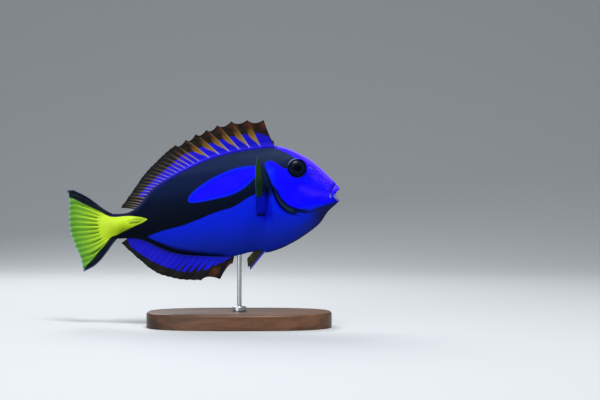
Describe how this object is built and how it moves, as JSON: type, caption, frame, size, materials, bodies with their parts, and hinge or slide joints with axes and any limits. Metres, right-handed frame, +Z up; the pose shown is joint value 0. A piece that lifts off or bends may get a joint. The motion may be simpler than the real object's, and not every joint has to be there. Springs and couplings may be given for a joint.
{
  "type": "regal blue tang display model",
  "caption": "Life-size regal blue tang with spread fins and its tail swung aside, held over a flat base by one short rod.",
  "frame": {"origin": "on the underside of the stand's base, on the axis of its rod", "axes": "+X the way the fish faces, +Y to its left, +Z up"},
  "size_m": [0.181, 0.0772, 0.1344],
  "materials": {
    "body_skin": "slimy skin with fine scales, royal blue with a black pattern",
    "tail_skin": "slimy skin with fine scales, black with a yellow wedge",
    "fin_membrane": "thin ribbed membrane, blue with a dark margin",
    "tail_fin": "thin ribbed membrane, yellow with black upper and lower margins",
    "pectoral_membrane": "thin ribbed membrane, blue root and yellow-green outer part",
    "pelvic_membrane": "thin ribbed membrane, dark with a blue leading spine",
    "eye": "wet and glossy, near-black iris with a fine pale ring",
    "stand_wood": "oiled dark walnut",
    "stand_steel": "brushed stainless steel"
  },
  "bodies": {
    "root": {"head": "body_skin", "trunk": "body_skin", "tail_stalk": "tail_skin", "dorsal_fin": "fin_membrane", "anal_fin": "fin_membrane", "caudal_fin": "tail_fin", "pectoral_fin_left": "pectoral_membrane", "pectoral_fin_right": "pectoral_membrane", "pelvic_fin_left": "pelvic_membrane", "pelvic_fin_right": "pelvic_membrane", "eye_left": "eye", "eye_right": "eye", "stand_base": "stand_wood", "stand_rod": "stand_steel"}
  },
  "joints": []
}
